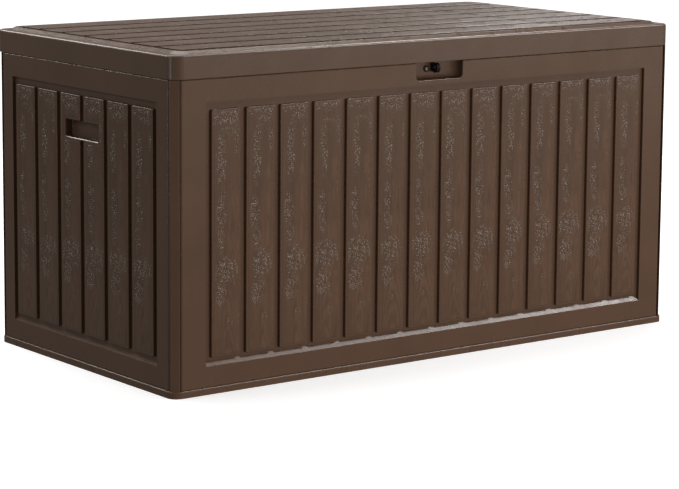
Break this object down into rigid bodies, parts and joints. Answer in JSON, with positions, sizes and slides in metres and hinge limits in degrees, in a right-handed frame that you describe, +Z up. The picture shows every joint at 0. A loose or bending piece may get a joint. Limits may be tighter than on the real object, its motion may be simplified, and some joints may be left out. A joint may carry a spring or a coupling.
{
  "type": "deck storage box",
  "caption": "Outdoor resin storage box with plank-faced walls, corner posts, side hand pockets and a rear-hinged lid with paired padlock eyes in a front recess.",
  "frame": {"origin": "centre of the base tray's underside, on the ground", "axes": "+Z up, +X along the width, to the right seen from the front; the front with the latch recess faces -Y"},
  "size_m": [1.204, 0.6267, 0.619],
  "materials": {
    "body_resin": "satin",
    "lid_resin": "satin",
    "black_steel": "semi-gloss",
    "hinge_steel": "satin",
    "zinc_steel": "satin",
    "chrome": "polished",
    "black_washer": "matte"
  },
  "bodies": {
    "box": {"base_tray": "body_resin", "front_panel": "body_resin", "back_panel": "body_resin", "left_panel": "body_resin", "right_panel": "body_resin", "front_left_post": "body_resin", "front_right_post": "body_resin", "rear_left_post": "body_resin", "rear_right_post": "body_resin", "left_handle_cup": "body_resin", "right_handle_cup": "body_resin", "handle_screws": "zinc_steel", "wall_screws": "zinc_steel", "tray_screws": "zinc_steel", "body_lock_eye": "black_steel", "lock_screws": "chrome", "lock_washers": "black_washer", "lock_nuts": "zinc_steel", "hinge_body_rivets": "zinc_steel", "hinge_body_leaf_left": "hinge_steel", "hinge_body_leaf_middle": "hinge_steel", "hinge_body_leaf_right": "hinge_steel", "hinge_pin_left": "zinc_steel", "hinge_pin_middle": "zinc_steel", "hinge_pin_right": "zinc_steel"},
    "lid": {"lid_shell": "lid_resin", "lid_lock_eye": "black_steel", "lid_lock_screws": "zinc_steel", "hinge_lid_rivets": "zinc_steel", "hinge_lid_leaf_left": "hinge_steel", "hinge_lid_leaf_middle": "hinge_steel", "hinge_lid_leaf_right": "hinge_steel"}
  },
  "joints": [
    {"name": "lid_hinge", "type": "hinge", "parent": "box", "child": "lid", "pos_m": [0, 0.3105, 0.5725], "axis": [-1, 0, 0], "range_deg": [0, 100]}
  ]
}
